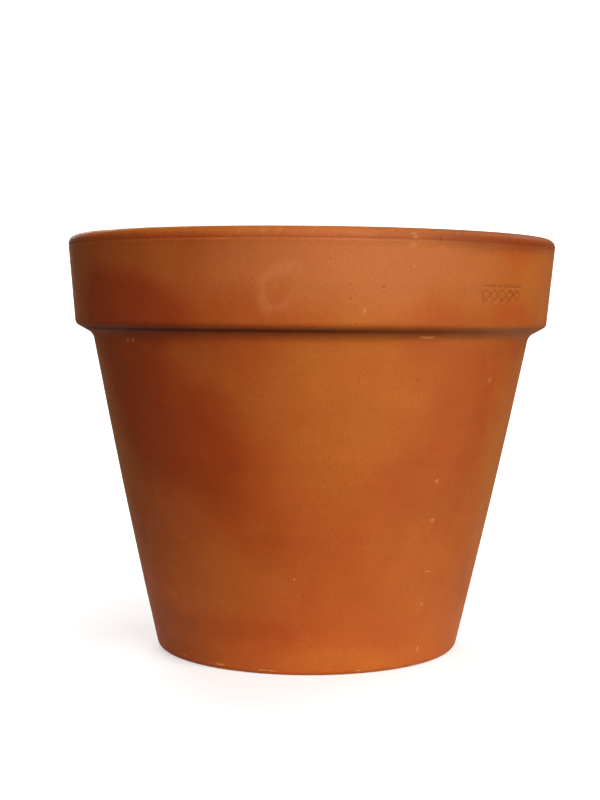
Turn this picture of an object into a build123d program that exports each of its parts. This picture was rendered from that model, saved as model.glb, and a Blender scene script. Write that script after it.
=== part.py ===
from build123d import *
import math
import os

# A clay flower pot: a tapered round wall with a thick rim band and one drain hole in a flat floor.
# The real pot is pressed in a steel mould and fired as a single piece, so it is one solid in one node.
# Frame: millimetres, +Z up, origin at the centre of the foot ring's plane.

# Overall size
height = 177.5
rim_radius = 105.0  # where the band's face meets the lip's rounding, the widest point

# Rim band
lip_round = 3.4  # outer top edge
lip_inner_round = 3.0
groove_drop = 4.9  # from the crown down to the pressed line under the rounded lip
groove_depth = 0.2
groove_width = 1.4
band_foot_z = 140.2  # where the band's face meets the ledge under it
band_foot_radius = 101.9
band_foot_round = 2.8
ledge_slope = 29.0  # degrees that the ledge falls towards the wall
ledge_round = 4.8  # hollow round between the ledge and the wall

# Outer wall, a cone with a slight outward bow
wall_foot_radius = 65.2
wall_taper = 12.12  # degrees from upright
wall_bow = 0.65
foot_round = 3.1

# Inside
wall_thickness = 8.5
floor_z = 11.0
floor_round = 9.0

# Underside and drain hole
hole_radius = 13.0
hole_edge_round = 1.0
dish_depth = 1.5
dish_top_radius = 50.0
dish_foot_radius = 54.0

PARTS = "parts"


def outer_wall_radius(z):
    """Radius of the unbowed outer wall at height z."""
    return wall_foot_radius + z * math.tan(math.radians(wall_taper))


def inner_wall_radius(z):
    """Radius of the inner wall, which keeps the wall's thickness square to its slope."""
    return outer_wall_radius(z) - wall_thickness / math.cos(math.radians(wall_taper))


def wall_top():
    """The point where the ledge's slope meets the outer wall."""
    fall = math.tan(math.radians(ledge_slope))
    lean = math.tan(math.radians(wall_taper))
    z = (band_foot_z - fall * (band_foot_radius - wall_foot_radius)) / (1 - fall * lean)
    return (outer_wall_radius(z), z)


def band_face_radius(z):
    """Radius of the rim band's straight face at height z."""
    widest_z = height - lip_round
    share = (z - band_foot_z) / (widest_z - band_foot_z)
    return band_foot_radius + share * (rim_radius - band_foot_radius)


def bowed_wall(foot, top):
    """The outer wall's line from foot to top, an arc that stands wall_bow proud at its middle."""
    lean = math.radians(wall_taper)
    middle = (
        (foot[0] + top[0]) / 2 + wall_bow * math.cos(lean),
        (foot[1] + top[1]) / 2 - wall_bow * math.sin(lean),
    )
    return ThreePointArc(foot, middle, top)


def pot_section():
    """Half of the pot's cross-section, on the XZ plane, from the drain hole out and up and back down inside."""
    foot = (wall_foot_radius, 0)
    top = wall_top()
    band_foot = (band_foot_radius, band_foot_z)
    lip = (band_face_radius(height), height)
    inner_lip = (inner_wall_radius(height), height)
    inner_foot = (inner_wall_radius(floor_z), floor_z)
    hole_top = (hole_radius, floor_z)
    hole_foot = (hole_radius, dish_depth)
    dish_top = (dish_top_radius, dish_depth)
    dish_foot = (dish_foot_radius, 0)
    outline = (
        Line(dish_foot, foot)
        + bowed_wall(foot, top)
        + Polyline(top, band_foot, lip, inner_lip, inner_foot, hole_top, hole_foot, dish_top, dish_foot)
    )
    face = make_face(outline)
    rounds = [
        (foot, foot_round),
        (top, ledge_round),
        (band_foot, band_foot_round),
        (lip, lip_round),
        (inner_lip, lip_inner_round),
        (inner_foot, floor_round),
        (hole_top, hole_edge_round),
        (hole_foot, hole_edge_round),
    ]
    for corner, radius in rounds:
        vertex = face.vertices().sort_by_distance((*corner, 0))[0]
        face = fillet(vertex, radius)
    return Plane.XZ * face


def lip_groove():
    """The ring cut by the pressed line under the rounded lip."""
    z = height - groove_drop
    r = band_face_radius(z)
    ring = Polyline(
        (r + groove_depth, z + groove_width),
        (r - groove_depth, z),
        (r + groove_depth, z - groove_width),
        close=True,
    )
    return revolve(Plane.XZ * make_face(ring), Axis.Z)


def pot():
    return revolve(pot_section(), Axis.Z) - lip_groove()


def main():
    os.makedirs(PARTS, exist_ok=True)
    export_step(pot(), os.path.join(PARTS, "pot.step"))


main()
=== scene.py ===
import math

import bmesh
import bpy
from mathutils import Matrix, Vector, kdtree, noise


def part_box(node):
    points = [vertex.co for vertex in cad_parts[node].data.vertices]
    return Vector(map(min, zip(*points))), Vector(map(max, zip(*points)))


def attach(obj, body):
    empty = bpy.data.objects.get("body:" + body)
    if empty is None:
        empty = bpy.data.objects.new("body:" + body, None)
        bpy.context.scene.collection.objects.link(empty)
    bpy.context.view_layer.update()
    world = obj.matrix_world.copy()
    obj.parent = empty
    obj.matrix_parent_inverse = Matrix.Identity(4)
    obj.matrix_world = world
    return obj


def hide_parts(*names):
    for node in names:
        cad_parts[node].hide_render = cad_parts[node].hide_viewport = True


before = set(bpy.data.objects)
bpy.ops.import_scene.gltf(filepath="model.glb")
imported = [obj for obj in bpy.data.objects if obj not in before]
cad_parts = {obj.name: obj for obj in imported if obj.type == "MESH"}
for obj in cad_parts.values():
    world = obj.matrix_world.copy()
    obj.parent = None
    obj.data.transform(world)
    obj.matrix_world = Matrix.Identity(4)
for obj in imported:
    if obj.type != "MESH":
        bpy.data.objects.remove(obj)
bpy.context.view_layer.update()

# A terracotta flower pot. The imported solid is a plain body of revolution. This script stands a finely
# divided mesh of the same form in its place, with the small irregularities of pressed and fired clay.
# Angles round the pot are azimuths in degrees: 0 faces -Y, the front, and positive turns towards +X.

MM = 0.001
LOW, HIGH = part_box("pot")
HEIGHT = HIGH.z - LOW.z
RIM_RADIUS = (HIGH.x - LOW.x) / 2

# Outline of the pot's section
LIP_ROUND = 3.4 * MM
LIP_INNER_ROUND = 3.0 * MM
GROOVE_DROP = 4.9 * MM  # from the crown down to the pressed line under the rounded lip
GROOVE_DEPTH = 0.04 * MM
GROOVE_WIDTH = 1.4 * MM
GROOVE_ROUNDS = (0.2 * MM, 0.15 * MM, 0.1 * MM)  # at its lower edge, its bottom and its upper edge
BAND_FOOT_Z = 140.2 * MM
BAND_FOOT_RADIUS = 101.9 * MM
BAND_FOOT_ROUND = 2.8 * MM
LEDGE_SLOPE = math.radians(29)
LEDGE_ROUND = 4.8 * MM
WALL_FOOT_RADIUS = 65.2 * MM
WALL_TAPER = math.radians(12.12)
WALL_BOW = 0.65 * MM
WALL_THICKNESS = 8.5 * MM
FOOT_ROUND = 3.1 * MM
FLOOR_Z = 11.0 * MM
FLOOR_ROUND = 9.0 * MM
HOLE_RADIUS = 13.0 * MM
HOLE_ROUND = 1.0 * MM
DISH_DEPTH = 1.5 * MM
DISH_TOP_RADIUS = 50.0 * MM
DISH_FOOT_RADIUS = 54.0 * MM
DISH_ROUND = 1.5 * MM
CROWN_SHIFT = 1.0 * MM  # how far inside the lip's middle the outside and the inside meet

# Mesh spacing
OUTER_COLUMNS = 432
OUTER_STEP = 2.4 * MM
INNER_STEP = 5.0 * MM
ARC_STEP = math.radians(11)
DETAIL_MARGIN = 1.5 * MM
CHIP_CUTS = 3
MARK_CUTS = 4
PRINT_CUTS = 1

# How the kiln left the pot: its axis leans and its mouth dips towards +X, and its walls are uneven
LEAN = 1.5 * MM
MOUTH_DIP = 0.75 * MM
MOUTH_SINK = 0.25 * MM
# Waves in the walls: wavelength, amplitude
WAVES = [(70 * MM, 0.16 * MM), (24 * MM, 0.07 * MM), (9 * MM, 0.02 * MM)]
# Faint turning rings: distance apart, how far sideways they hold their shape, height
RINGS_PITCH = 5.0 * MM
RINGS_SPREAD = 200 * MM
RINGS_DEPTH = 0.02 * MM

# Scars: azimuth, height, half width, half height, depth in millimetres
CHIPS_OUTSIDE = [
    (1.0, 177.2, 2.0, 0.8, 0.35),
    (21.2, 174.6, 1.7, 1.2, 0.45),
    (-51.0, 134.1, 1.0, 0.7, 0.2),
    (-48.7, 134.3, 0.9, 0.6, 0.2),
    (11.2, 146.4, 0.6, 0.5, 0.2),
    (21.6, 163.4, 0.7, 0.6, 0.2),
    (27.8, 136.4, 4.4, 1.0, 0.5),
    (52.4, 118.8, 0.9, 0.8, 0.2),
    (37.9, 79.0, 1.2, 0.8, 0.25),
    (38.6, 63.0, 1.7, 0.6, 0.25),
    (40.8, 41.0, 1.9, 0.5, 0.25),
    (40.7, 27.0, 0.9, 0.8, 0.25),
    (42.9, 8.0, 0.5, 1.4, 0.25),
    (-51.0, 3.0, 2.0, 0.5, 0.3),
    (-32.0, 2.4, 2.6, 0.45, 0.3),
    (-15.5, 2.0, 2.0, 0.4, 0.25),
    (-12.0, 2.0, 1.5, 0.4, 0.25),
    (19.0, 1.8, 1.5, 0.4, 0.25),
    (101.0, 176.6, 3.2, 1.3, 0.6),
    (152.0, 141.5, 3.0, 1.4, 0.5),
    (-118.0, 175.8, 2.2, 1.4, 0.5),
    (-152.0, 60.0, 1.6, 0.9, 0.3),
    (128.0, 92.0, 1.3, 1.0, 0.3),
    (-101.0, 3.0, 3.4, 1.2, 0.5),
    (166.0, 2.6, 4.0, 1.3, 0.5),
]
CHIPS_INSIDE = [
    (74.0, 176.4, 2.4, 1.2, 0.5),
    (-158.0, 176.8, 3.0, 1.0, 0.4),
]
PITS = [
    (20.8, 174.3, 0.5, 0.5, 0.4),
    (27.5, 174.2, 0.35, 2.2, 0.3),
    (46.9, 173.4, 0.35, 2.4, 0.3),
    (26.9, 119.5, 0.5, 0.5, 0.4),
    (10.7, 126.2, 0.4, 0.4, 0.3),
    (15.0, 155.0, 0.5, 0.4, 0.4),
    (8.0, 150.5, 0.4, 0.4, 0.4),
    (12.5, 160.5, 0.4, 0.4, 0.4),
    (-75.0, 98.0, 0.7, 0.5, 0.5),
    (118.0, 160.0, 0.6, 0.6, 0.5),
    (-140.0, 118.0, 0.6, 0.5, 0.5),
]
# Vertex layers that the clay's colour reads
PAINTED = ("fresh", "grime_and_shade", "worn", "tone_and_shade", "bloom_and_sheen")
SCAR_GRAIN = 0.8 * MM
SCAR_RAGGED = 0.6
CHIP_FRESHNESS = 0.7
# painted shade in the pits and hairline cracks
PIT_SHADE = 0.4
EDGE_END = 1.2  # where the soft edge of a scar or of the crease's painted shade ends, in half sizes

# Pressed mark on the band: a broken rule over a chain of outlined lozenges
MARK_AZIMUTH = 46.5
MARK_Z = 153.5 * MM
MARK_HALF_WIDTH = 12.5 * MM
MARK_HALF_HEIGHT = 3.4 * MM
MARK_DEPTH = 0.42 * MM
MARK_LINE = 0.7 * MM
LOZENGE_COUNT = 5
LOZENGE_HALF_WIDTH = MARK_HALF_WIDTH / LOZENGE_COUNT
LOZENGE_HALF_HEIGHT = 2.2 * MM
LOZENGE_DROP = 1.0 * MM
MARK_EDGE = 0.3 * MM
# painted shade in the mark's pressed lines
MARK_SHADE = 0.36
MARK_EVENNESS = 0.7
MARK_GRAIN = 4 * MM

# Pale ring left on the band by something round and wet: azimuth, height, half width, half height
PRINT = (-6.3, 155.0 * MM, 8.3 * MM, 9.0 * MM)
PRINT_RADIUS = 0.85  # of the line's middle, in half sizes
PRINT_LINE = 0.22
PRINT_RAGGED = 0.25
PRINT_GRAIN = 5 * MM
PRINT_GAP = 12  # degrees, the open side of the ring, up from its +X side
PRINT_LEAN = 0.42  # how far the ring's top stands towards +X, for its height
PRINT_SHADOW = 0.5  # how much redder the clay inside the ring is

# Soft patches of colour: azimuth, height, half length, half height in millimetres,
# tilt in degrees, strength (negative redder, positive paler). Partly the clay's fired colour, partly
# painted
# light and shade: redder on the shaded left side and in a thin band above the foot, paler along the
# front of the foot and on the ledge's underside at the right
TONES_AND_SHADE = [
    (22, 161, 75, 24, 0, 0.9),
    (-40, 166, 36, 9, -4, 0.1),
    (8, 112, 50, 42, -8, 0.8),
    (-41, 101, 60, 36, -38, -1.0),
    (-56, 122, 36, 30, 0, -0.35),
    (-80, 92, 30, 62, 0, 0.9),
    (-48, 148, 48, 18, -10, -1.15),
    (42, 146, 56, 6, 0, -0.15),
    (54, 137.5, 76, 5, 0, 0.7),
    (70, 160, 44, 26, 0, 0.75),
    (-20, 65, 38, 14, -28, -0.35),
    (-22, 38, 40, 18, -8, 0.25),
    (40, 50, 40, 50, 0, 0.3),
    (-22, 19, 60, 6, 0, -0.3),
    (12, 4, 50, 11, 0, 0.5),
    (80, 84, 46, 68, 0, 0.85),
    (128, 70, 44, 40, 20, -0.4),
    (150, 130, 70, 40, 0, 0.6),
    (-150, 50, 60, 40, -15, 0.5),
    (-110, 120, 50, 40, 10, -0.4),
]
# Soft patches of pale bloom, the one on the band's front a painted sheen, and of handling dirt and
# painted shade, in the same way
BLOOM_AND_SHEEN = [
    (10, 163, 80, 20, 0, 0.95),
    (168, 60, 50, 36, 12, 0.35),
    (-95, 150, 40, 20, 0, 0.3),
]
# Some smears are painted shade: on the lip's right half, at its left end and on the band at the right
SMEARS_AND_SHADE = [
    (52, 174.5, 84, 6, 0, 0.3),
    (-80, 175.5, 40, 4.5, 0, 0.3),
    (34, 155, 36, 22, 0, 0.08),
    (-56, 12, 34, 18, 0, 0.12),
    (150, 174.0, 60, 6, 0, 0.16),
    (112, 64, 26, 18, 25, 0.10),
    (-128, 30, 40, 20, -10, 0.12),
]
PATCH_SOFTNESS = 0.6
PATCH_RAGGED = 0.22
PATCH_GRAIN = 26 * MM

# Tone of the lip and of its crown, each with how far down from the top it reaches and its soft edge
LIP_TONE = -0.45
LIP_TONE_DROP = GROOVE_DROP + 0.5 * MM
LIP_TONE_EDGE = 1.5 * MM
CROWN_TONE = 0.5
CROWN_TONE_SWING = 0.7  # how much paler it is at one azimuth and redder opposite
CROWN_PALE_AZIMUTH = -20
CROWN_TONE_DROP = 2.8 * MM
CROWN_TONE_EDGE = 1.4 * MM

# Painted shade in the crease under the ledge: its middle, out and up from the wall's top, and its half
# sizes
CREASE_OFFSET = (4.0 * MM, 2.3 * MM)
CREASE_SIZE = (3.2 * MM, 0.9 * MM)
CREASE_SHADE = 0.8
CREASE_SHADE_AZIMUTH = -30  # where it is darkest

# Wear along the lip's and the foot's outer edges
WEAR_INSET = 1.5 * MM
WEAR_REACH = 3.0 * MM


def wall_radius(z):
    """Radius of the outer wall at height z, before its bow."""
    return WALL_FOOT_RADIUS + z * math.tan(WALL_TAPER)


def inner_radius(z):
    return wall_radius(z) - WALL_THICKNESS / math.cos(WALL_TAPER)


def band_radius(z):
    """Radius of the rim band's face at height z."""
    share = (z - BAND_FOOT_Z) / (HEIGHT - LIP_ROUND - BAND_FOOT_Z)
    return BAND_FOOT_RADIUS + share * (RIM_RADIUS - BAND_FOOT_RADIUS)


def wall_top():
    """Radius and height of the point where the ledge's slope meets the wall."""
    fall = math.tan(LEDGE_SLOPE)
    z = BAND_FOOT_Z - fall * (BAND_FOOT_RADIUS - WALL_FOOT_RADIUS)
    z /= 1 - fall * math.tan(WALL_TAPER)
    return Vector((wall_radius(z), z))


def rounded_path(corners, step):
    """Points (radius, z), at most step apart, along an outline given as (radius, z, rounding)."""
    path = [Vector(corners[0][:2])]
    for before, corner, after in zip(corners, corners[1:], corners[2:]):
        point = Vector(corner[:2])
        back = (Vector(before[:2]) - point).normalized()
        on = (Vector(after[:2]) - point).normalized()
        half = back.angle(on) / 2
        reach = corner[2] / math.tan(half)
        centre = point + (back + on).normalized() * corner[2] / math.sin(half)
        add_run(path, point + back * reach, step)
        add_arc(path, point + on * reach, centre)
    add_run(path, Vector(corners[-1][:2]), step)
    return path


def add_run(path, end, step):
    """Adds a straight run from the path's last point to end."""
    start = path[-1]
    count = max(1, math.ceil((end - start).length / step))
    path.extend(start.lerp(end, i / count) for i in range(1, count + 1))


def add_arc(path, end, centre):
    """Adds an arc about centre from the path's last point to end."""
    first = path[-1] - centre
    turn = first.angle_signed(end - centre, 0)
    count = max(1, math.ceil(abs(turn) / ARC_STEP))
    for i in range(1, count + 1):
        path.append(centre + Matrix.Rotation(-turn * i / count, 2) @ first)


def bowed(path):
    """The path with its wall, between the foot and the ledge, swelling by WALL_BOW at mid height."""
    top = wall_top().y
    for point in path:
        if point.y < top:
            share = point.y / top
            point.x += 4 * WALL_BOW * share * (1 - share)
    return path


def halved(path, low, high):
    """The path with a point added halfway along each of its steps between two heights."""
    finer = path[:1]
    for before, after in zip(path, path[1:]):
        if low < min(before.y, after.y) and max(before.y, after.y) < high:
            finer.append(before.lerp(after, 0.5))
        finer.append(after)
    return finer


def outer_path():
    """From the foot ring's inner edge up the outside and over to the middle of the crown."""
    groove_z = HEIGHT - GROOVE_DROP
    edge = GROOVE_WIDTH / 2
    lower_round, bottom_round, upper_round = GROOVE_ROUNDS
    crown_radius = (inner_radius(HEIGHT) + band_radius(HEIGHT)) / 2 - CROWN_SHIFT
    corners = [
        (DISH_FOOT_RADIUS, 0, 0),
        (WALL_FOOT_RADIUS, 0, FOOT_ROUND),
        (*wall_top(), LEDGE_ROUND),
        (BAND_FOOT_RADIUS, BAND_FOOT_Z, BAND_FOOT_ROUND),
        (band_radius(groove_z - edge), groove_z - edge, lower_round),
        (band_radius(groove_z) - GROOVE_DEPTH, groove_z, bottom_round),
        (band_radius(groove_z + edge), groove_z + edge, upper_round),
        (band_radius(HEIGHT), HEIGHT, LIP_ROUND),
        (crown_radius, HEIGHT, 0),
    ]
    path = rounded_path(corners, OUTER_STEP)
    return bowed(halved(path, wall_top().y, BAND_FOOT_Z))


def inner_path(start):
    """From start on the crown down the inside, through the drain hole and out to the foot ring."""
    corners = [
        (*start, 0),
        (inner_radius(HEIGHT), HEIGHT, LIP_INNER_ROUND),
        (inner_radius(FLOOR_Z), FLOOR_Z, FLOOR_ROUND),
        (HOLE_RADIUS, FLOOR_Z, HOLE_ROUND),
        (HOLE_RADIUS, DISH_DEPTH, HOLE_ROUND),
        (DISH_TOP_RADIUS, DISH_DEPTH, DISH_ROUND),
        (DISH_FOOT_RADIUS, 0, 0),
    ]
    return rounded_path(corners, INNER_STEP)


def add_rings(bm, path, columns):
    """One ring of vertices for each point of the path."""
    rings = []
    for radius, z in path:
        turns = (math.tau * k / columns for k in range(columns))
        rings.append([bm.verts.new((radius * math.sin(a), -radius * math.cos(a), z)) for a in turns])
    return rings


def join_rings(bm, lower, upper):
    """Quads between two rings of the same count."""
    count = len(lower)
    for k in range(count):
        after = (k + 1) % count
        bm.faces.new((lower[k], lower[after], upper[after], upper[k]))


def join_halved(bm, fine, coarse):
    """Triangles between a ring and one of half its count."""
    count = len(coarse)
    for k in range(count):
        after = (k + 1) % count
        left, middle, right = fine[2 * k], fine[2 * k + 1], fine[(2 * k + 2) % len(fine)]
        bm.faces.new((left, middle, coarse[k]))
        bm.faces.new((middle, coarse[after], coarse[k]))
        bm.faces.new((middle, right, coarse[after]))


def pot_skin(bm, outside, inside):
    """The closed, exact surface of revolution: fine columns outside, half as many inside."""
    inner_layer = bm.verts.layers.float.new("inside")
    outer = add_rings(bm, outside, OUTER_COLUMNS)
    inner = add_rings(bm, inside[1:-1], OUTER_COLUMNS // 2)
    for lower, upper in zip(outer, outer[1:]):
        join_rings(bm, lower, upper)
    join_halved(bm, outer[-1], inner[0])
    for lower, upper in zip(inner, inner[1:]):
        join_rings(bm, lower, upper)
    join_halved(bm, outer[0], inner[-1])
    bmesh.ops.recalc_face_normals(bm, faces=bm.faces)
    for ring in inner:
        for vertex in ring:
            vertex[inner_layer] = 1.0


def direction(azimuth, elevation=0):
    """Unit vector from the pot towards an azimuth and elevation in degrees."""
    a = math.radians(azimuth)
    e = math.radians(elevation)
    return Vector((math.sin(a) * math.cos(e), -math.cos(a) * math.cos(e), math.sin(e)))


def smooth(value):
    """0 below 0, 1 above 1 and an even curve between."""
    held = min(max(value, 0.0), 1.0)
    return held * held * (3 - 2 * held)


def on_path(path, azimuth, z):
    """The point of a path at height z, turned to an azimuth."""
    nearest = min(path, key=lambda point: (abs(point.y - z), -point.x))
    return direction(azimuth) * nearest.x + Vector((0, 0, z))


def placed(scars, path):
    """Scars as (centre, azimuth, half width, half height, depth) in metres."""
    return [
        (on_path(path, azimuth, z * MM), azimuth, width * MM, tall * MM, depth * MM)
        for azimuth, z, width, tall, depth in scars
    ]


def vertex_tree(bm):
    """A search tree of the mesh's vertices."""
    bm.verts.ensure_lookup_table()
    tree = kdtree.KDTree(len(bm.verts))
    for index, vertex in enumerate(bm.verts):
        tree.insert(vertex.co, index)
    tree.balance()
    return tree


def offsets(centre, azimuth, point):
    """How far point lies from centre along the pot's round, and across it."""
    away = point - centre
    along = away.dot(direction(azimuth + 90))
    across = math.sqrt(max(0.0, away.length_squared - along * along))
    return along, math.copysign(across, away.z)


def refine(bm, regions, cuts):
    """Divides the edges that lie within (centre, azimuth, half width, half height) regions."""
    tree = vertex_tree(bm)
    edges = set()
    for centre, azimuth, width, tall in regions:
        reach = math.hypot(width, tall)
        near = set()
        for _, index, _ in tree.find_range(centre, reach):
            vertex = bm.verts[index]
            along, across = offsets(centre, azimuth, vertex.co)
            if abs(along) < width and abs(across) < tall:
                near.add(vertex)
        edges.update(edge for vertex in near for edge in vertex.link_edges)
    edges = sorted(edges, key=lambda edge: edge.index)
    bmesh.ops.subdivide_edges(bm, edges=edges, cuts=cuts, use_grid_fill=True)
    bm.edges.index_update()


def onto_circle(point):
    """Moves a point on a chord between two columns out to the pot's round."""
    half = math.pi / OUTER_COLUMNS
    turn = math.atan2(point.x, -point.y) % (2 * half) - half
    grow = math.cos(turn) / math.cos(half)
    return Vector((point.x * grow, point.y * grow, point.z))


def scar(bm, tree, scars, depths, layer, strength):
    """Sinks each ragged scar and marks it in a vertex layer."""
    for centre, azimuth, width, tall, depth in scars:
        for place, index, _ in tree.find_range(centre, 1.5 * max(width, tall)):
            along, across = offsets(centre, azimuth, place)
            edge = math.hypot(along / width, across / tall)
            edge += SCAR_RAGGED * noise.noise(place / SCAR_GRAIN)
            depths[index] += depth * smooth(EDGE_END - edge)
            vertex = bm.verts[index]
            vertex[layer] = max(vertex[layer], strength * smooth(2.5 * (1.05 - edge)))


def mark_shape(along, up):
    """1 where the mark is pressed in: a broken rule over a chain of outlined lozenges."""
    if abs(along) > MARK_HALF_WIDTH:
        return 0.0
    pitch = 2 * LOZENGE_HALF_WIDTH
    across = (along + MARK_HALF_WIDTH) % pitch - pitch / 2
    edge = abs(across) / LOZENGE_HALF_WIDTH + abs(up + LOZENGE_DROP) / LOZENGE_HALF_HEIGHT - 1
    slope = math.hypot(1 / LOZENGE_HALF_WIDTH, 1 / LOZENGE_HALF_HEIGHT)
    lozenge = smooth((MARK_LINE / 2 - abs(edge) / slope) / MARK_EDGE + 0.5)
    rule = smooth((MARK_LINE / 2 - abs(up - MARK_HALF_HEIGHT + MARK_LINE)) / MARK_EDGE + 0.5)
    return max(lozenge, rule * smooth(abs(along) / MARK_EDGE - 1))


def press_mark(bm, tree, depths, layer):
    centre = direction(MARK_AZIMUTH) * band_radius(MARK_Z) + Vector((0, 0, MARK_Z))
    for place, index, _ in tree.find_range(centre, 1.1 * MARK_HALF_WIDTH):
        vertex = bm.verts[index]
        along, across = offsets(centre, MARK_AZIMUTH, place)
        shape = mark_shape(along, across) * (MARK_EVENNESS + 0.6 * noise.noise(place / MARK_GRAIN))
        depths[index] += MARK_DEPTH * shape
        # painted shade in the pressed lines
        vertex[layer] = max(vertex[layer], MARK_SHADE * shape)


def add_print(bm, tree, layer):
    """The pale ring on the band, open on one side, round redder clay."""
    azimuth, z, width, tall = PRINT
    centre = direction(azimuth) * band_radius(z) + Vector((0, 0, z))
    for place, index, _ in tree.find_range(centre, 1.6 * tall):
        along, across = offsets(centre, azimuth, place)
        along -= PRINT_LEAN * across
        edge = math.hypot(along / width, across / tall) + PRINT_RAGGED * noise.noise(place / PRINT_GRAIN)
        line = math.exp(-(((edge - PRINT_RADIUS) / PRINT_LINE) ** 2))
        turn = math.degrees(math.atan2(across, along)) - PRINT_GAP
        closed = smooth((180 - abs((turn + 180) % 360 - 180)) / 120)
        shadow = PRINT_SHADOW * smooth(1.3 - 2 * edge) * closed
        bm.verts[index][layer] = line * smooth(abs(turn) / 110) - shadow


def patches(point, spots):
    """Sum of the soft patches that cover a point."""
    azimuth = math.degrees(math.atan2(point.x, -point.y))
    radius = math.hypot(point.x, point.y)
    total = 0.0
    for centre, z, length, tall, tilt, strength in spots:
        turn = math.radians((azimuth - centre + 180) % 360 - 180)
        flat = Vector((turn * radius, point.z - z * MM))
        along, up = Matrix.Rotation(math.radians(-tilt), 2) @ flat
        edge = math.hypot(along / (length * MM), up / (tall * MM))
        edge += PATCH_RAGGED * noise.noise(point / PATCH_GRAIN)
        total += strength * smooth((1 - edge) / PATCH_SOFTNESS)
    return total


def tone_and_shade(point):
    """Colour at a point, partly fired colour and partly painted light and shade: below 0 redder, above 0
    paler.
    """
    lip = smooth((point.z - HEIGHT + LIP_TONE_DROP) / LIP_TONE_EDGE)
    crown = smooth((point.z - HEIGHT + CROWN_TONE_DROP) / CROWN_TONE_EDGE)
    turned = direction(CROWN_PALE_AZIMUTH).dot(point) / math.hypot(point.x, point.y)
    crown_tone = CROWN_TONE + CROWN_TONE_SWING * turned
    return patches(point, TONES_AND_SHADE) * (1 - lip) + LIP_TONE * lip + crown_tone * crown


def crease_shade(point):
    """Painted shade in the crease where the ledge's underside meets the wall, uneven round the pot."""
    radius = math.hypot(point.x, point.y)
    corner = wall_top()
    out = (radius - corner.x - CREASE_OFFSET[0]) / CREASE_SIZE[0]
    up = (point.z - corner.y - CREASE_OFFSET[1]) / CREASE_SIZE[1]
    turned = max(0.0, direction(CREASE_SHADE_AZIMUTH).dot(point) / radius)
    return CREASE_SHADE * turned * smooth(EDGE_END - math.hypot(out, up))


def edge_wear(radius, z):
    """Rubbed clay along the lip's and the foot's outer edges."""
    lip = math.hypot(radius - band_radius(HEIGHT) + WEAR_INSET, z - HEIGHT + WEAR_INSET)
    foot = math.hypot(radius - WALL_FOOT_RADIUS, z)
    return smooth(1.3 - min(lip, foot) / WEAR_REACH)


def unevenness(point):
    """How far the fired wall stands proud of its true shape."""
    swell = sum(size * noise.noise(point / length) for length, size in WAVES)
    ring = noise.noise(Vector((point.x / RINGS_SPREAD, point.y / RINGS_SPREAD, point.z / RINGS_PITCH)))
    return swell + RINGS_DEPTH * ring


def settled(point):
    """Where the kiln left a point of the true shape."""
    share = (point.z - LOW.z) / HEIGHT
    lean = point.x + LEAN * share
    fall = MOUTH_SINK + MOUTH_DIP * lean / RIM_RADIUS
    return Vector((lean, point.y, point.z - fall * share * share))


def shape_clay(bm, outside, inside):
    """Scars, mark, print, tones, bloom, dirt, painted light and shade, and unevenness, on a mesh made
    fine enough where they are.
    """
    chips = placed(CHIPS_OUTSIDE, outside) + placed(CHIPS_INSIDE, inside)
    pits = placed(PITS, outside)
    margin = DETAIL_MARGIN
    scarred = [(c, a, width + margin, tall + margin) for c, a, width, tall, _ in chips + pits]
    refine(bm, scarred, CHIP_CUTS)
    mark_centre = on_path(outside, MARK_AZIMUTH, MARK_Z)
    refine(bm, [(mark_centre, MARK_AZIMUTH, MARK_HALF_WIDTH, MARK_HALF_HEIGHT + margin)], MARK_CUTS)
    azimuth, z, width, tall = PRINT
    refine(bm, [(on_path(outside, azimuth, z), azimuth, 1.4 * width, 1.4 * tall)], PRINT_CUTS)

    for vertex in bm.verts:
        vertex.co = onto_circle(vertex.co)
    bm.normal_update()
    for name in PAINTED:
        bm.verts.layers.float.new(name)
    layers = {name: bm.verts.layers.float[name] for name in PAINTED}
    tree = vertex_tree(bm)
    depths = [0.0] * len(bm.verts)
    scar(bm, tree, chips, depths, layers["fresh"], CHIP_FRESHNESS)
    # the pits and cracks darkened with painted shade
    scar(bm, tree, pits, depths, layers["grime_and_shade"], PIT_SHADE)
    press_mark(bm, tree, depths, layers["grime_and_shade"])
    add_print(bm, tree, layers["bloom_and_sheen"])
    for vertex, depth in zip(bm.verts, depths):
        point = vertex.co.copy()
        radius = math.hypot(point.x, point.y)
        # the crease's painted shade, plus the smears' handling dirt and painted shade
        shade_and_dirt = crease_shade(point) + patches(point, SMEARS_AND_SHADE)
        vertex[layers["grime_and_shade"]] = max(vertex[layers["grime_and_shade"]], shade_and_dirt)
        vertex[layers["worn"]] = edge_wear(radius, point.z)
        # pale bloom, and a painted sheen on the band's front
        vertex[layers["bloom_and_sheen"]] += patches(point, BLOOM_AND_SHEEN)
        # fired colour, with painted light and shade in some patches
        vertex[layers["tone_and_shade"]] = tone_and_shade(point)
        upright = 1 - abs(vertex.normal.z)
        vertex.co = settled(point + vertex.normal * (upright * unevenness(point) - depth))


def build_pot():
    outside = outer_path()
    inside = inner_path(outside[-1])
    bm = bmesh.new()
    pot_skin(bm, outside, inside)
    shape_clay(bm, outside, inside)
    mesh = bpy.data.meshes.new("clay_pot")
    bm.to_mesh(mesh)
    bm.free()
    for polygon in mesh.polygons:
        polygon.use_smooth = True
    pot = bpy.data.objects.new("clay_pot", mesh)
    bpy.context.collection.objects.link(pot)
    return pot


# Clay colours, linear
CLAY = (0.42, 0.114, 0.020)
REDDER = (0.36, 0.073, 0.0095)
PALER = (0.458, 0.155, 0.026)
FRESH = (0.58, 0.28, 0.11)
# dark for handling dirt, and painted shade in pits, cracks, the mark's lines and the crease
GRIME_AND_SHADE = (0.060, 0.010, 0.002)
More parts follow.
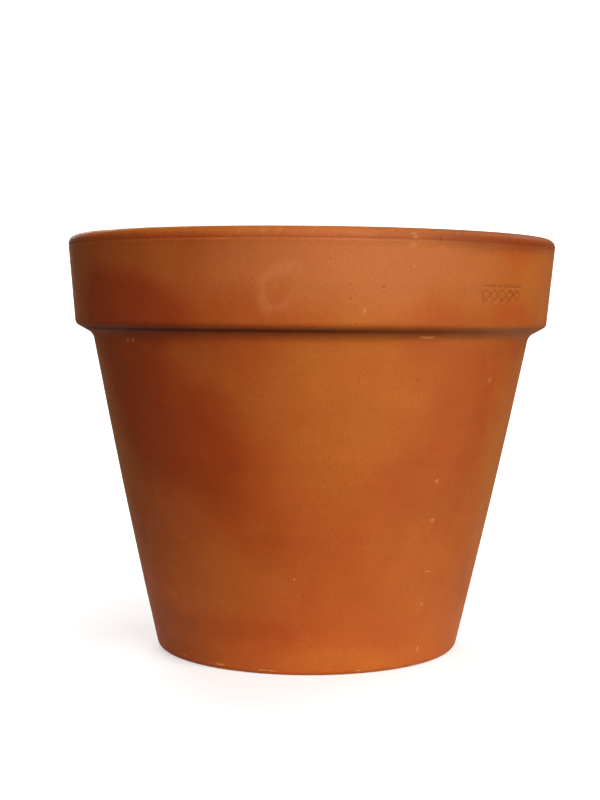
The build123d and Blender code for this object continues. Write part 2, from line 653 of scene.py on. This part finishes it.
# pale bloom, also the painted sheen on the band's front
PALE_BLOOM_AND_SHEEN = (0.49, 0.178, 0.064)
INSIDE_DUST = (0.50, 0.19, 0.065)
LIME = (0.66, 0.44, 0.26)
# painted shade inside the pores
PORE_SHADE = (0.13, 0.032, 0.008)

# How much of the clay the palest bloom and painted sheen, the ring's shadow, the pores' painted shade
# and lime specks cover
BLOOM_AND_SHEEN_COVER = 0.88
SHADOW_COVER = 0.5
PORE_SHADE_COVER = 0.45
LIME_COVER = 0.6
# Mottling of the fired tone: size, detail, strength
MOTTLING = [(45 * MM, 3, 0.45), (11 * MM, 3, 0.22), (3 * MM, 2, 0.14)]
# Relief of the skin: size, stretch along the axes, depth
RELIEF = [
    (0.5 * MM, (1, 1, 1), 0.03 * MM),
    (3.5 * MM, (1, 1, 1), 0.10 * MM),
    (3 * MM, (60, 60, 1), 0.05 * MM),
]
PORE_DEPTH = 0.08 * MM
PORE_SPACING = 1.6 * MM
PORE_SIZE = 0.36 * MM
LIME_SPACING = 5.0 * MM
LIME_SIZE = 0.4 * MM


def node(tree, kind, **settings):
    """Adds a shader node, in rows of eight, and sets its properties."""
    count = len(tree.nodes)
    made = tree.nodes.new(kind)
    made.location = (220 * (count % 8) - 2000, 600 - 260 * (count // 8))
    for name, value in settings.items():
        setattr(made, name, value)
    return made


def plug(tree, socket, value):
    """Links an output to a socket, or sets the socket to a plain value."""
    if isinstance(value, bpy.types.NodeSocket):
        tree.links.new(value, socket)
    elif isinstance(value, tuple) and len(value) == 3 and socket.type == "RGBA":
        socket.default_value = (*value, 1)
    else:
        socket.default_value = value


def maths(tree, operation, first, second):
    made = node(tree, "ShaderNodeMath", operation=operation)
    plug(tree, made.inputs[0], first)
    plug(tree, made.inputs[1], second)
    return made.outputs[0]


def ranged(tree, value, source, target):
    """Maps value from one range to another and holds it there."""
    made = node(tree, "ShaderNodeMapRange")
    plug(tree, made.inputs["Value"], value)
    for socket, number in zip(("From Min", "From Max", "To Min", "To Max"), source + target):
        made.inputs[socket].default_value = number
    return made.outputs["Result"]


def blend(tree, share, first, second, mode="MIX"):
    made = node(tree, "ShaderNodeMix", data_type="RGBA", blend_type=mode)
    colours = [socket for socket in made.inputs if socket.type == "RGBA"]
    plug(tree, made.inputs["Factor"], share)
    plug(tree, colours[0], first)
    plug(tree, colours[1], second)
    return next(socket for socket in made.outputs if socket.type == "RGBA")


def cloud(tree, place, size, detail=3.0, stretch=(1, 1, 1)):
    """Noise from 0 to 1 whose features are about size metres, stretched along the axes."""
    scaled = node(tree, "ShaderNodeVectorMath", operation="DIVIDE")
    plug(tree, scaled.inputs[0], place)
    scaled.inputs[1].default_value = [size * factor for factor in stretch]
    made = node(tree, "ShaderNodeTexNoise")
    plug(tree, made.inputs["Vector"], scaled.outputs[0])
    made.inputs["Scale"].default_value = 1.0
    made.inputs["Detail"].default_value = detail
    return made.outputs["Fac"]


def specks(tree, place, spacing, size, share):
    """1 in round specks of a size, standing in a share of the cells of a spacing."""
    cells = node(tree, "ShaderNodeTexVoronoi")
    plug(tree, cells.inputs["Vector"], place)
    cells.inputs["Scale"].default_value = 1 / spacing
    near = ranged(tree, cells.outputs["Distance"], (size / spacing, 0.6 * size / spacing), (0.0, 1.0))
    chance = node(tree, "ShaderNodeSeparateColor")
    plug(tree, chance.inputs[0], cells.outputs["Color"])
    return maths(tree, "MULTIPLY", near, maths(tree, "LESS_THAN", chance.outputs[0], share))


def painted(tree, name):
    """A vertex layer of the mesh."""
    return node(tree, "ShaderNodeAttribute", attribute_name=name).outputs["Fac"]


def mottled_tone_and_shade(tree, place):
    """Redder and paler clay: the painted patches, some of them painted light and shade, broken up by
    noise at several sizes.
    """
    total = painted(tree, "tone_and_shade")
    for size, detail, strength in MOTTLING:
        swing = ranged(tree, cloud(tree, place, size, detail), (0.3, 0.7), (-strength / 2, strength / 2))
        total = maths(tree, "ADD", total, swing)
    return total


def brightness(tree, place):
    """Light and dark in the clay: turned bands, clouds and grain."""
    bands = ranged(tree, cloud(tree, place, 5 * MM, 2, (60, 60, 1)), (0.3, 0.7), (0.985, 1.015))
    clouds = ranged(tree, cloud(tree, place, 20 * MM, 4), (0.3, 0.7), (0.975, 1.025))
    grain = ranged(tree, cloud(tree, place, 0.9 * MM, 3), (0.25, 0.75), (0.93, 1.07))
    return maths(tree, "MULTIPLY", maths(tree, "MULTIPLY", bands, clouds), grain)


def clay_colour(tree, place, pores, lime):
    shade = mottled_tone_and_shade(tree, place)
    # paler and redder clay, in some patches painted light and shade
    colour = blend(tree, ranged(tree, shade, (0.0, 1.0), (0.0, 1.0)), CLAY, PALER)
    colour = blend(tree, ranged(tree, shade, (0.0, -1.0), (0.0, 1.0)), colour, REDDER)
    # pale bloom, and on the band's front a painted sheen
    bloom_and_sheen = ranged(tree, painted(tree, "bloom_and_sheen"), (0.0, 1.6), (0.0, BLOOM_AND_SHEEN_COVER))
    colour = blend(tree, bloom_and_sheen, colour, PALE_BLOOM_AND_SHEEN)
    shadow = ranged(tree, painted(tree, "bloom_and_sheen"), (0.0, -1.0), (0.0, SHADOW_COVER))
    colour = blend(tree, shadow, colour, REDDER)
    dust = ranged(tree, cloud(tree, place, 25 * MM, 5), (0.35, 0.65), (0.25, 0.75))
    colour = blend(tree, maths(tree, "MULTIPLY", painted(tree, "inside"), dust), colour, INSIDE_DUST)
    colour = blend(tree, 1.0, colour, brightness(tree, place), "MULTIPLY")
    rubbed = ranged(tree, cloud(tree, place, 2.2 * MM, 4), (0.55, 0.75), (0.0, 0.3))
    colour = blend(tree, maths(tree, "MULTIPLY", painted(tree, "worn"), rubbed), colour, FRESH)
    # the pores darkened with painted shade
    colour = blend(tree, maths(tree, "MULTIPLY", pores, PORE_SHADE_COVER), colour, PORE_SHADE)
    colour = blend(tree, maths(tree, "MULTIPLY", lime, LIME_COVER), colour, LIME)
    colour = blend(tree, painted(tree, "fresh"), colour, FRESH)
    # handling dirt, and painted shade in pits, cracks, the mark's lines, the crease and parts of the lip
    # and band
    return blend(tree, painted(tree, "grime_and_shade"), colour, GRIME_AND_SHADE)


def clay_height(tree, place, pores):
    """Fine relief of the skin, in metres."""
    height = maths(tree, "MULTIPLY", pores, -PORE_DEPTH)
    for size, stretch, depth in RELIEF:
        wave = maths(tree, "MULTIPLY", cloud(tree, place, size, 3, stretch), depth)
        height = maths(tree, "ADD", height, wave)
    return height


def clay_material():
    material = bpy.data.materials.new("terracotta_clay")
    material.use_nodes = True
    tree = material.node_tree
    shader = tree.nodes["Principled BSDF"]
    place = node(tree, "ShaderNodeTexCoord").outputs["Object"]
    crowd = ranged(tree, cloud(tree, place, 30 * MM, 2), (0.42, 0.62), (0.15, 1.0))
    pores = maths(tree, "MULTIPLY", specks(tree, place, PORE_SPACING, PORE_SIZE, 0.2), crowd)
    lime = specks(tree, place, LIME_SPACING, LIME_SIZE, 0.03)
    plug(tree, shader.inputs["Base Color"], clay_colour(tree, place, pores, lime))
    gloss = ranged(tree, cloud(tree, place, 9 * MM, 4), (0.3, 0.7), (0.52, 0.66))
    rough = maths(tree, "ADD", gloss, maths(tree, "MULTIPLY", painted(tree, "fresh"), 0.25))
    plug(tree, shader.inputs["Roughness"], rough)
    shader.inputs["Specular IOR Level"].default_value = 0.42
    shader.inputs["Sheen Weight"].default_value = 0.07
    shader.inputs["Sheen Roughness"].default_value = 0.35
    shader.inputs["Sheen Tint"].default_value = (1.0, 0.93, 0.80, 1)
    bump = node(tree, "ShaderNodeBump")
    bump.inputs["Distance"].default_value = 1.0
    bump.inputs["Strength"].default_value = 0.7
    plug(tree, bump.inputs["Height"], clay_height(tree, place, pores))
    plug(tree, shader.inputs["Normal"], bump.outputs["Normal"])
    return material


# Studio
FLOOR_SIZE = 3.0
FLOOR_WHITE = 0.92
FLOOR_FADE = (0.12, 0.42)  # distances from the pot's axis between which the floor fades out
FLOOR_VEIL = 0.35  # how much of the white surround shows through the floor, to keep its shadow light
BOUNCE_REACH = 0.12  # the floor lights the pot only within this distance of its axis
SURROUND_MATT = 0.10
SURROUND_GLOSS = 0.14
AIM_Z = 0.09
# name, azimuth, elevation, distance, size, watts
SOFTBOXES = [
    ("key_front_right", 37, 22, 1.8, 1.5, 20.3),
    ("fill_front", 0, 24, 1.8, 1.3, 6.9),
    ("low_right", 74, -32, 1.8, 0.9, 4.8),
    ("low_left", -80, -14, 1.8, 0.9, 0.8),
    ("fill_left", -36, 22, 1.8, 1.2, 4.4),
    ("top", 0, 80, 1.8, 0.9, 1.8),
    ("back_right", 125, 40, 1.8, 0.9, 5),
    ("back_left", -165, 22, 1.8, 1.2, 19),
]


def pale_floor():
    bm = bmesh.new()
    bmesh.ops.create_grid(bm, x_segments=1, y_segments=1, size=FLOOR_SIZE / 2)
    mesh = bpy.data.meshes.new("floor")
    bm.to_mesh(mesh)
    bm.free()
    floor = bpy.data.objects.new("floor", mesh)
    bpy.context.collection.objects.link(floor)
    floor.location.z = LOW.z
    mesh.materials.append(floor_material())


def floor_material():
    """Matt white round the pot, which fades out into the white surround further off."""
    material = bpy.data.materials.new("pale_floor")
    material.use_nodes = True
    tree = material.node_tree
    shader = tree.nodes["Principled BSDF"]
    plug(tree, shader.inputs["Base Color"], (FLOOR_WHITE, FLOOR_WHITE, FLOOR_WHITE))
    shader.inputs["Roughness"].default_value = 1.0
    shader.inputs["Specular IOR Level"].default_value = 0.0
    place = node(tree, "ShaderNodeTexCoord")
    distance = node(tree, "ShaderNodeVectorMath", operation="LENGTH")
    plug(tree, distance.inputs[0], place.outputs["Object"])
    fade = ranged(tree, distance.outputs["Value"], FLOOR_FADE, (FLOOR_VEIL, 1.0))
    far = maths(tree, "GREATER_THAN", distance.outputs["Value"], BOUNCE_REACH)
    clear = node(tree, "ShaderNodeMix")
    plug(tree, clear.inputs["Factor"], node(tree, "ShaderNodeLightPath").outputs["Is Diffuse Ray"])
    plug(tree, clear.inputs["A"], fade)
    plug(tree, clear.inputs["B"], far)
    mix = node(tree, "ShaderNodeMixShader")
    plug(tree, mix.inputs["Fac"], clear.outputs["Result"])
    plug(tree, mix.inputs[1], shader.outputs["BSDF"])
    plug(tree, mix.inputs[2], node(tree, "ShaderNodeBsdfTransparent").outputs["BSDF"])
    plug(tree, tree.nodes["Material Output"].inputs["Surface"], mix.outputs["Shader"])
    return material


def softbox(name, azimuth, elevation, distance, size, watts):
    light = bpy.data.lights.new(name, "AREA")
    light.shape = "DISK"
    light.size = size
    light.energy = watts
    lamp = bpy.data.objects.new(name, light)
    bpy.context.collection.objects.link(lamp)
    away = direction(azimuth, elevation)
    lamp.location = Vector((0, 0, AIM_Z)) + away * distance
    lamp.rotation_euler = away.to_track_quat("Z", "Y").to_euler()
    lamp.visible_camera = False


def white_surround():
    """White behind the pot, and dimmer in the light that it throws on the clay."""
    world = bpy.data.worlds.new("white_surround")
    world.use_nodes = True
    bpy.context.scene.world = world
    tree = world.node_tree
    path = node(tree, "ShaderNodeLightPath")
    glossy = maths(tree, "MULTIPLY", path.outputs["Is Glossy Ray"], 1 - SURROUND_GLOSS)
    matt = maths(tree, "MULTIPLY", path.outputs["Is Diffuse Ray"], 1 - SURROUND_MATT)
    white = maths(tree, "SUBTRACT", 1.0, maths(tree, "MAXIMUM", glossy, matt))
    background = tree.nodes["Background"]
    background.inputs["Color"].default_value = (1, 1, 1, 1)
    plug(tree, background.inputs["Strength"], white)


# Camera
CAMERA_DISTANCE = 0.6512
CAMERA_HEIGHT = 0.1438
CAMERA_YAW = math.radians(-0.294)
CAMERA_PITCH = math.radians(-3.233)
CAMERA_ROLL = math.radians(0.239)
CAMERA_LENS = 66.75  # millimetres, on a 36 mm sensor along the picture's long side


def add_camera():
    data = bpy.data.cameras.new("camera")
    data.lens = CAMERA_LENS
    data.sensor_width = 36
    camera = bpy.data.objects.new("camera", data)
    bpy.context.collection.objects.link(camera)
    upright = Matrix.Rotation(math.radians(90) + CAMERA_PITCH, 4, "X")
    turned = Matrix.Rotation(-CAMERA_YAW, 4, "Z") @ upright
    rolled = turned @ Matrix.Rotation(CAMERA_ROLL, 4, "Z")
    camera.matrix_world = Matrix.Translation((0, -CAMERA_DISTANCE, CAMERA_HEIGHT)) @ rolled
    bpy.context.scene.camera = camera


pot = build_pot()
pot.data.materials.append(clay_material())
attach(pot, "root")
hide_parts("pot")

pale_floor()
for box in SOFTBOXES:
    softbox(*box)
white_surround()
add_camera()
bpy.context.scene.view_settings.view_transform = "Standard"
bpy.context.scene.view_settings.look = "High Contrast"
